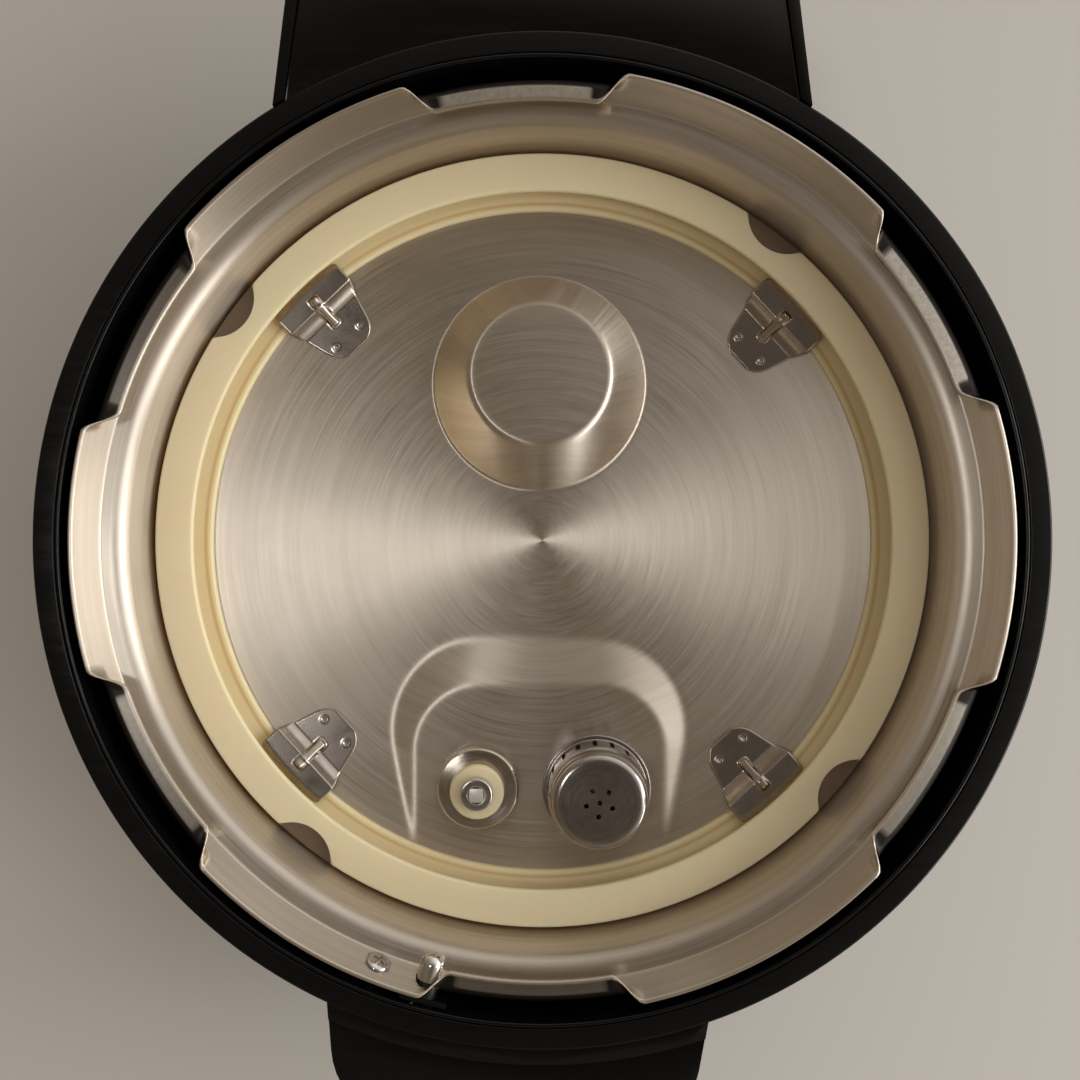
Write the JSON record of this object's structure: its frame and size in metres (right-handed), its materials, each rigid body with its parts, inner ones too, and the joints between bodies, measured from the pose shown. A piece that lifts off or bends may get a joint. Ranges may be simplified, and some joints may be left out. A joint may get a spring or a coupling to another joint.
{
  "type": "electric pressure cooker lid",
  "caption": "Lid of an electric pressure cooker lying upside down: toothed pressed steel lid with silicone seal in a black cover with valves, lock pin and carry handle.",
  "frame": {"origin": "on the surface the lid lies on, under the lid's axis, in the middle of the flat top of the carry handle", "axes": "+Z is the lid's axis and points out of the pot side, up from the surface; the rear hood is at +Y and the front grip at -Y"},
  "size_m": [0.294, 0.3433, 0.095],
  "materials": {
    "black_gloss": "moulded gloss black",
    "black_matte": "moulded satin black",
    "lid_steel": "spun and pressed stainless steel",
    "bright_steel": "turned and polished stainless steel",
    "plated_steel": "plated steel",
    "silicone": "translucent ivory silicone"
  },
  "bodies": {
    "lid": {"outer_cover": "black_gloss", "rim_liner": "black_gloss", "rear_hood": "black_gloss", "front_grip": "black_gloss", "carry_handle": "black_gloss", "pressure_lid": "lid_steel", "sealing_ring": "silicone", "seal_clip_1": "lid_steel", "seal_clip_2": "lid_steel", "seal_clip_3": "lid_steel", "seal_clip_4": "lid_steel", "vent_pipe": "bright_steel", "vent_washer": "silicone", "vent_nut": "plated_steel", "float_bush": "bright_steel", "float_washer": "silicone", "float_nut": "plated_steel", "slider_guide": "black_matte", "skirt_screw": "plated_steel", "lid_studs": "plated_steel", "cover_screws": "plated_steel", "handle_screws": "plated_steel", "hood_screws": "plated_steel", "grip_screws": "plated_steel"},
    "float_valve": {"float_pin": "bright_steel", "float_seal": "silicone", "float_collar": "bright_steel"},
    "steam_weight": {"steam_weight": "bright_steel"},
    "steam_knob": {"steam_knob": "black_matte"},
    "shield": {"anti_block_shield": "lid_steel", "shield_spring": "lid_steel"},
    "lock": {"lock_pin": "bright_steel", "lock_slider": "black_matte", "lock_spring": "plated_steel"}
  },
  "joints": [
    {"name": "float_slide", "type": "slide", "parent": "lid", "child": "float_valve", "axis": [0, 0, 1], "range_m": [0, 0.005]},
    {"name": "valve_lift", "type": "slide", "parent": "lid", "child": "steam_weight", "axis": [0, 0, 1], "range_m": [0, 0.003]},
    {"name": "knob_turn", "type": "hinge", "parent": "steam_weight", "child": "steam_knob", "pos_m": [0.01743, -0.07956, 0.024], "axis": [0, 0, 1], "range_deg": [0, 60]},
    {"name": "shield_pull", "type": "slide", "parent": "lid", "child": "shield", "axis": [0, 0, 1], "range_m": [0, 0.025]},
    {"name": "lock_slide", "type": "slide", "parent": "lid", "child": "lock", "axis": [-0.2512, -0.9679, 0], "range_m": [0, 0.007], "stiffness_N_per_m": 200}
  ]
}
